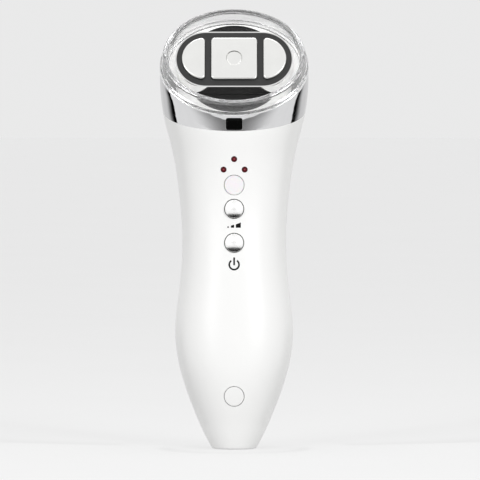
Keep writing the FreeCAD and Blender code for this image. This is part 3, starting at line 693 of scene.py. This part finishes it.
@dataclass
class SubAssembly:
    """A group of pieces that is built and dressed together."""

    made: list[str] = field(default_factory=list, init=False)

    def dress(self, finish: Finish, *nodes: str) -> None:
        """Gives solids that keep their own mesh a finish.

        Args:
            finish: the surface.
            *nodes: names of the solids.
        """
        for node in nodes:
            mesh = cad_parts[node].data
            mesh.materials.clear()
            mesh.materials.append(finish.material())
            self.made.append(node)

    def add(self, piece: bpy.types.Object, finish: Finish, body: str, slot: str, *nodes: str) -> None:
        """Dresses a new piece, hangs it on its body and puts it in place of solids.

        Args:
            piece: the new mesh object.
            finish: the surface.
            body: the body that carries it.
            slot: the record's material slot; not used.
            *nodes: solids that it stands for.
        """
        piece.data.materials.clear()
        piece.data.materials.append(finish.material())
        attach(piece, body)
        if nodes:
            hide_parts(*nodes)
        self.made.append(piece.name)

    def build(self) -> None:
        """Builds and dresses the pieces."""
        raise NotImplementedError

    def report(self) -> None:
        """Logs each piece."""
        for name in self.made:
            LOG.info("%s: %s", type(self).__name__, name)


@dataclass(frozen=True)
class Wedge:
    """One bar of the level sign: its middle, its width, and its heights at the left and the right."""

    middle: float
    width: float
    left: float
    right: float


@dataclass
class Handle(SubAssembly):
    """White shells with the flush screw cap and the two printed signs."""

    ink_lift: float = 0.02
    ink_thick: float = 0.02
    sign_plane: float = -40.0
    power_sign_height: float = 73.4
    power_sign_radius: float = 2.25
    power_sign_stroke: float = 0.66
    power_sign_half_gap: float = 33.0
    power_sign_corners: int = 72
    power_bar: tuple[float, float] = (-0.2, 2.85)
    power_bar_cells: tuple[int, int] = (2, 8)
    level_sign_foot: float = 87.95
    wedges: tuple[Wedge, ...] = (
        Wedge(-2.37, 0.62, 0.5, 0.6), Wedge(-0.65, 1.25, 0.85, 1.25), Wedge(1.65, 1.95, 1.35, 2.1))
    wedge_round: float = 0.18
    wedge_round_steps: int = 4

    def build(self) -> None:
        """Builds and dresses the shells, the cap and the signs."""
        self.dress(WHITE_ABS, "front_shell", "rear_shell")
        cap = Bench.flush_disc("screw_cap", "screw_cap_disc")
        self.add(cap, WHITE_ABS, HANDLE, "white_shell", "screw_cap")
        for sign in (self.power_sign(), self.level_sign()):
            self.print_on(sign)
            self.add(sign, INK, HANDLE, "black_part")

    def print_on(self, sign: bpy.types.Object) -> None:
        """Lays a flat sign on the front shell and gives it the thickness of ink.

        Args:
            sign: the flat mesh object.
        """
        Bench.finish_with(sign, "SHRINKWRAP", target=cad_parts["front_shell"], wrap_method="PROJECT",
                          use_project_y=True, use_positive_direction=True, use_negative_direction=False,
                          offset=self.ink_lift * MM)
        Bench.finish_with(sign, "SOLIDIFY", thickness=self.ink_thick * MM, offset=0.0)
        Bench.open(sign)
        bpy.ops.mesh.normals_make_consistent(inside=False)
        Bench.clear()

    def power_sign(self) -> bpy.types.Object:
        """Models the open ring with its upright bar, flat in front of the handle.

        Returns:
            The flat mesh object.
        """
        Bench.clear()
        middle = Vector((0, self.sign_plane, self.power_sign_height)) * MM
        share = 1 - self.power_sign_stroke / self.power_sign_radius
        half_gap = math.radians(self.power_sign_half_gap)
        bpy.ops.mesh.primitive_circle_add(vertices=self.power_sign_corners,
                                          radius=self.power_sign_radius * MM, location=middle,
                                          rotation=UPRIGHT)
        sign = bpy.context.object
        sign.name = "power_sign"
        bpy.ops.object.transform_apply()
        Bench.open(sign)
        bpy.ops.mesh.extrude_region_move()
        bpy.ops.transform.resize(value=(share, 1, share), center_override=middle)

        def in_gap(centre: Vector) -> bool:
            """True for faces in the gap at the top."""
            return abs(math.atan2(centre.x, centre.z - middle.z)) < half_gap

        Bench.pick(sign, Pick.FACES, in_gap)
        bpy.ops.mesh.delete(type="FACE")
        low, high = self.power_bar
        across, along = self.power_bar_cells
        bar_middle = middle + Vector((0, 0, (low + high) / 2)) * MM
        bpy.ops.mesh.primitive_grid_add(x_subdivisions=across, y_subdivisions=along, size=MM,
                                        location=bar_middle, rotation=UPRIGHT)
        bpy.ops.transform.resize(value=(self.power_sign_stroke, 1, high - low), center_override=bar_middle)
        Bench.clear()
        return sign

    def level_sign(self) -> bpy.types.Object:
        """Models the rising wedges from left to right, flat in front of the handle.

        Returns:
            The flat mesh object.
        """
        Bench.clear()
        for wedge in self.wedges:
            foot = Vector((wedge.middle, self.sign_plane, self.level_sign_foot)) * MM
            half_up = foot.z + wedge.left / 2 * MM
            bpy.ops.mesh.primitive_plane_add(size=MM, location=foot, rotation=UPRIGHT)
            if bpy.context.mode == "OBJECT":
                sign = bpy.context.object
                sign.name = "level_sign"
                bpy.ops.object.transform_apply()
                Bench.open(sign)
            bpy.ops.transform.translate(value=(0, 0, MM / 2))
            bpy.ops.transform.resize(value=(wedge.width, 1, wedge.left), center_override=foot)

            def top_right(place: Vector) -> bool:
                """True for the upper right corner of the newest wedge."""
                return place.x > foot.x and place.z > half_up

            Bench.pick(sign, Pick.CORNERS, top_right)
            bpy.ops.transform.translate(value=(0, 0, (wedge.right - wedge.left) * MM))
        bpy.ops.mesh.select_all(action="SELECT")
        bpy.ops.mesh.bevel(affect="VERTICES", offset=self.wedge_round * MM, segments=self.wedge_round_steps)
        Bench.clear()
        return sign


@dataclass(frozen=True)
class Light:
    """One light lens: its name, and its place across and up the handle."""

    name: str
    across: float
    height: float


@dataclass
class Controls(SubAssembly):
    """Domed buttons, status disc and light lenses with what lies behind them."""

    button_radius: float = 3.65
    button_crown: float = 1.19
    button_skirt: float = 1.8
    button_round: float = 0.2
    button_round_steps: int = 3
    light_radius: float = 1.1
    light_crown: float = 0.25
    light_depth: float = 1.6
    lights: tuple[Light, ...] = (
        Light("top", 0.0, 115.05), Light("left", -4.15, 110.9), Light("right", 4.15, 110.9))
    look_from: float = -100.0
    rows: int = 14
    segments: int = 72
    crease: float = 40.0

    def build(self) -> None:
        """Builds and dresses the control pieces."""
        for key in ("level", "power"):
            self.button(key)
        disc = Bench.flush_disc("status_lens", "status_disc")
        self.add(disc, MILKY_PC, HANDLE, "status_lens", "status_lens")
        self.light_lenses()
        self.dress(NYLON, "level_plunger", "power_plunger", "indicator_leds")
        self.dress(EPOXY, "level_switch", "power_switch", "control_chips")
        self.dress(BOARD, "control_board")
        self.dress(ZINC, "board_screws")
        self.dress(FERRITE, "transformer_core")
        self.dress(COPPER, "transformer_winding")

    def dome(self, name: str, radius: float, crown: float, skirt: float) -> bpy.types.Object:
        """Raises a round body under a cap of a ball, its apex at the origin, pointing up Z.

        Args:
            name: the piece's name.
            radius: radius of the body.
            crown: height of the ball's cap.
            skirt: length of the straight side below it.

        Returns:
            The closed mesh object.
        """
        ball = (radius ** 2 + crown ** 2) / (2 * crown)
        edge = math.asin(radius / ball)
        rings = [Ring(radius, radius, -crown - skirt)]
        for row in range(self.rows):
            angle = edge * (1 - row / self.rows)
            out = ball * math.sin(angle)
            rings.append(Ring(out, out, ball * (math.cos(angle) - 1)))
        return Bench.wall(name, rings, self.segments, Ends.CAPPED)

    def button(self, key: str) -> None:
        """Builds one button where its solid is.

        Args:
            key: what the button sets, level or power.
        """
        low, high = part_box(f"{key}_button")
        cap = self.dome(f"{key}_button_cap", self.button_radius, self.button_crown, self.button_skirt)
        Bench.round_edges(cap, self.button_round, self.button_round_steps, self.crease, self.crease)
        Bench.turn(cap, 90, Vector((0, low.y, (low.z + high.z) / 2)))
        self.add(cap, PEARL, f"{key}_button", "white_button", f"{key}_button")

    def light_lenses(self) -> None:
        """Builds the red lenses on the front ends of the light rods."""
        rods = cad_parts["level_lights"]
        bpy.context.view_layer.update()
        back = Vector((0, 1, 0))
        faces = [rods.ray_cast(Vector((light.across, self.look_from, light.height)) * MM, back)[1]
                 for light in self.lights]
        for light, face in zip(self.lights, faces):
            lens = self.dome(f"light_lens_{light.name}", self.light_radius, self.light_crown,
                             self.light_depth)
            Bench.smooth(lens, self.crease)
            Bench.turn(lens, 90, face)
            ruby = replace(RUBY, name=f"{RUBY.name}_{light.name}", centre=tuple(face),
                           radius=self.light_radius)
            self.add(lens, ruby, HANDLE, "red_light", "level_lights")


@dataclass
class Head(SubAssembly):
    """Chrome ring, black electrode block, contacts and the clear ring round them."""

    lean: float = 63.0
    centre: tuple[float, float, float] = (0.0, -12.4, 151.0)
    window_lift: float = 0.06
    window_round: float = 0.15
    window_round_steps: int = 2
    flange: tuple[float, float] = (29.15, 21.2)
    flange_height: float = 2.4
    flange_round: float = 0.3
    flange_round_steps: int = 4
    step: tuple[float, float] = (28.7, 20.8)
    rim: tuple[float, float] = (28.1, 20.9)
    bore: tuple[float, float] = (26.05, 18.85)
    foot: tuple[float, float] = (23.55, 16.35)
    spigot: tuple[float, float] = (27.15, 19.95)
    rim_height: float = 10.0
    rim_round: float = 0.8
    rim_round_steps: int = 8
    foot_top: float = -0.5
    recess: float = -1.4
    wall_rows: int = 8
    segments: int = 192
    crease: float = 50.0

    def build(self) -> None:
        """Builds and dresses the head."""
        self.dress(CHROME, "head_ring")
        window = Bench.trace("ring_window", "ring_window_pane")
        Bench.turn(window, 0, Vector((0, -self.window_lift * MM, 0)))
        Bench.round_edges(window, self.window_round, self.window_round_steps)
        self.add(window, SMOKED_PC, HANDLE, "black_window", "ring_window")
        self.dress(PLATE_ABS, "head_plate")
        self.dress(GUIDE_PC, "light_guide")
        self.dress(BLACK_ABS, "electrode_block")
        self.dress(BRIGHT_TRIM, "electrode_trim")
        self.dress(NICKEL, "left_electrode", "right_electrode", "centre_electrode", "sensor_disc")
        self.dress(BRASS, "electrode_studs", "stud_nuts")
        self.dress(BOARD, "head_board")
        self.dress(ZINC, "head_screws")
        self.clear_ring()

    def clear_ring(self) -> None:
        """Builds the clear ring: flange, leaning wall, rounded rim, bore and foot."""
        ring = Bench.wall("clear_guard_ring", self.profile(), self.segments, Ends.LOOPED)
        Bench.turn(ring, self.lean, Vector(self.centre) * MM)
        Bench.smooth(ring, self.crease)
        self.add(ring, CLEAR_PC, HANDLE, "clear_ring", "clear_ring")

    def profile(self) -> list[Ring]:
        """Lists the ovals round the clear ring's section.

        Returns:
            Ovals from the flange's foot, over the rim, down the bore and back to the first.
        """
        wall_top = self.rim_height - self.rim_round
        first = Ring(*self.flange, 0.0)
        ledge = Ring(*self.step, self.flange_height)
        rings = [first]
        rings += self.rounded(self.flange, self.flange_height, self.flange_round, self.flange_round_steps)
        rings.append(ledge)
        rings += self.straight(ledge, Ring(*self.rim, wall_top))
        rings += self.rounded(self.rim, self.rim_height, self.rim_round, self.rim_round_steps)[1:]
        inside = self.rounded(self.bore, self.rim_height, self.rim_round, self.rim_round_steps, -1)
        rings += reversed(inside)
        rings += self.straight(inside[0], Ring(*self.bore, self.foot_top))
        rings.append(Ring(*self.foot, self.foot_top))
        rings.append(Ring(*self.foot, self.recess))
        rings.append(Ring(*self.spigot, self.recess))
        rings.append(Ring(*self.spigot, 0.0))
        rings.append(first)
        return rings

    def rounded(self, oval: tuple[float, float], top: float, radius: float, steps: int,
                inward: int = 1) -> list[Ring]:
        """Lists the ovals of a rounded upper edge, from its upright side to its top.

        Args:
            oval: half width and half depth of the upright side.
            top: height of the edge's top.
            radius: radius of the rounding.
            steps: rows of faces in the rounding.
            inward: 1 where the edge rounds towards the middle, -1 where it rounds away from it.

        Returns:
            The ovals from the side to the top.
        """
        rings = []
        for step in range(steps + 1):
            angle = math.pi / 2 * step / steps
            shift = inward * radius * (1 - math.cos(angle))
            rings.append(Ring(oval[0] - shift, oval[1] - shift, top - radius * (1 - math.sin(angle))))
        return rings

    def straight(self, start: Ring, end: Ring) -> list[Ring]:
        """Lists the ovals of a straight wall after its first.

        Args:
            start: the oval where the wall starts, which isn't listed.
            end: the oval where it ends.

        Returns:
            The ovals up to the last.
        """
        rings = []
        for row in range(1, self.wall_rows + 1):
            share = row / self.wall_rows
            rings.append(Ring(start.width + (end.width - start.width) * share,
                              start.depth + (end.depth - start.depth) * share,
                              start.height + (end.height - start.height) * share))
        return rings


@dataclass
class Power(SubAssembly):
    """Cell, charge inlet and closing screw."""

    def build(self) -> None:
        """Dresses the cell, the inlet and the screw."""
        self.dress(CELL_WRAP, "battery")
        self.dress(ZINC, "battery_tabs", "charge_socket", "shell_screw")
        self.dress(EPOXY, "charge_tongue")
        self.dress(BOARD, "charge_board")


@dataclass(frozen=True)
class Sheet:
    """A reflector sheet round the device that only mirrors see.

    It runs between two angles, in degrees from the front, and from its near to its far reach. It hangs at a
    height of its own, and its far edge may rise above that. Lengths are metres.
    """

    name: str
    finish: Finish
    angles: tuple[float, float]
    reach: tuple[float, float]
    height: float
    rise: float = 0.0
    steps: int = 60

    def lay(self) -> None:
        """Models the sheet and hides it from camera, clear pieces, shadow and soft light."""
        first, last = (math.radians(angle) for angle in self.angles)
        near, far = self.reach
        out = Vector((math.sin(first), -math.cos(first), 0))
        Bench.clear()
        bpy.ops.mesh.primitive_plane_add()
        sheet = bpy.context.object
        sheet.name = self.name
        Bench.open(sheet)
        bpy.ops.mesh.merge(type="CENTER")
        bpy.ops.transform.translate(value=out * near + Vector((0, 0, self.height)))
        bpy.ops.mesh.extrude_region_move(
            TRANSFORM_OT_translate={"value": out * (far - near) + Vector((0, 0, self.rise))})
        bpy.ops.mesh.select_all(action="SELECT")
        # Spin turns left-handed about its axis.
        bpy.ops.mesh.spin(steps=self.steps, angle=first - last, center=(0, 0, 0), axis=(0, 0, 1))
        Bench.clear()
        sheet.data.materials.append(self.finish.material())
        sheet.visible_camera = False
        sheet.visible_diffuse = False
        sheet.visible_shadow = False
        sheet.visible_transmission = False


@dataclass(frozen=True)
class Softbox:
    """A rectangular lamp: its place, its width and height in metres, and its power in watts."""

    name: str
    place: tuple[float, float, float]
    size: tuple[float, float]
    watts: float

    def hang(self, target: Vector) -> bpy.types.Object:
        """Hangs the lamp where it looks at a point.

        Args:
            target: the point in metres.

        Returns:
            The lamp, which the camera doesn't see.
        """
        data = bpy.data.lights.new(self.name, "AREA")
        data.shape = "RECTANGLE"
        data.size, data.size_y = self.size
        data.energy = self.watts
        lamp = bpy.data.objects.new(self.name, data)
        lamp.location = self.place
        lamp.rotation_euler = (target - Vector(self.place)).to_track_quat("-Z", "Y").to_euler()
        lamp.visible_camera = False
        bpy.context.scene.collection.objects.link(lamp)
        return lamp


@dataclass
class Studio:
    """Camera, softboxes, floor, reflector sheets and world; lengths are metres, the lens's millimetres."""

    target: tuple[float, float, float] = (0.0, -0.005, 0.087)
    elevation: float = 2.0
    distance: float = 2.5
    lens: float = 474.7
    sensor: float = 36.0
    shift: tuple[float, float] = (0.0122, -0.0223)
    sight: float = 20.0
    room_light: float = 0.45
    room_white: float = 0.82
    mirror_white: float = 0.97
    floor_size: float = 12.0
    front_lamps: tuple[Softbox, ...] = (
        Softbox("softbox_left", (-0.55, -0.8, 0.35), (0.35, 0.8), 3.6),
        Softbox("softbox_right", (0.55, -0.8, 0.35), (0.35, 0.8), 4.5),
        Softbox("softbox_top", (0.0, -0.05, 1.1), (0.6, 0.5), 2.8))
    back_lamp: Softbox = Softbox("softbox_back", (0.0, 0.9, 0.5), (0.5, 0.8), 3.0)
    sheets: tuple[Sheet, ...] = (
        Sheet("lit_sheet", LIT_CLOTH, (-60.0, 60.0), (0.095, 0.6), 0.088),
        Sheet("white_sheet", WHITE_CLOTH, (-110.0, 110.0), (0.03, 0.9), 0.001),
        Sheet("lit_wall", WHITE_CLOTH, (-110.0, 110.0), (0.9, 0.9), 0.001, rise=0.5),
        Sheet("dark_mat", DARK_MAT, (-100.0, 100.0), (0.025, 0.135), 0.002),
        Sheet("black_sheet_left", BLACK_CLOTH, (-99.0, -150.0), (0.05, 0.9), 0.002),
        Sheet("black_sheet_right", BLACK_CLOTH, (99.0, 150.0), (0.05, 0.9), 0.002))

    def camera(self) -> None:
        """Places the long lens in front of the device."""
        data = bpy.data.cameras.new("front_camera")
        data.lens = self.lens
        data.sensor_width = self.sensor
        data.shift_x, data.shift_y = self.shift
        data.clip_end = self.sight
        camera = bpy.data.objects.new("front_camera", data)
        lift = math.radians(self.elevation)
        away = Vector((0, -math.cos(lift), math.sin(lift))) * self.distance
        camera.location = Vector(self.target) + away
        camera.rotation_euler = (math.radians(90 - self.elevation), 0, 0)
        bpy.context.scene.collection.objects.link(camera)
        bpy.context.scene.camera = camera

    def floor(self) -> bpy.types.Object:
        """Lays a pale floor that keeps the device's shadow.

        Returns:
            The floor.
        """
        Bench.clear()
        bpy.ops.mesh.primitive_plane_add(size=self.floor_size)
        floor = bpy.context.object
        floor.name = "studio_floor"
        floor.data.materials.append(PAPER.material())
        return floor

    def light_from_behind(self, floor: bpy.types.Object) -> None:
        """Hangs the lamp that lights the back, but not the floor, and that no mirror or clear piece sees.

        Args:
            floor: the floor, which the lamp leaves unlit.
        """
        lamp = self.back_lamp.hang(Vector(self.target))
        lamp.visible_glossy = False
        lamp.visible_transmission = False
        unlit = bpy.data.collections.new(f"{lamp.name}_unlit")
        unlit.objects.link(floor)
        unlit.collection_objects[0].light_linking.link_state = "EXCLUDE"
        lamp.light_linking.receiver_collection = unlit

    def world(self) -> None:
        """Lights the room evenly, and white to the camera, to mirrors and to clear pieces."""
        room = bpy.data.worlds.new("studio_room")
        room.use_nodes = True
        tree = room.node_tree
        level = by_sight(tree, self.room_light, self.room_white, self.mirror_white)
        feed(tree, tree.nodes["Background"], {"Color": to_linear("#FFFFFF"), "Strength": level})
        bpy.context.scene.world = room

    def set_up(self) -> None:
        """Sets the stage."""
        bpy.context.scene.view_settings.view_transform = "Standard"
        self.camera()
        for lamp in self.front_lamps:
            lamp.hang(Vector(self.target))
        self.light_from_behind(self.floor())
        for sheet in self.sheets:
            sheet.lay()
        self.world()


def main() -> None:
    """Builds the device and its stage, and logs each piece."""
    logging.basicConfig(level=logging.INFO)
    for part in (Handle(), Controls(), Head(), Power()):
        part.build()
        part.report()
    Studio().set_up()


if __name__ == "__main__":
    main()
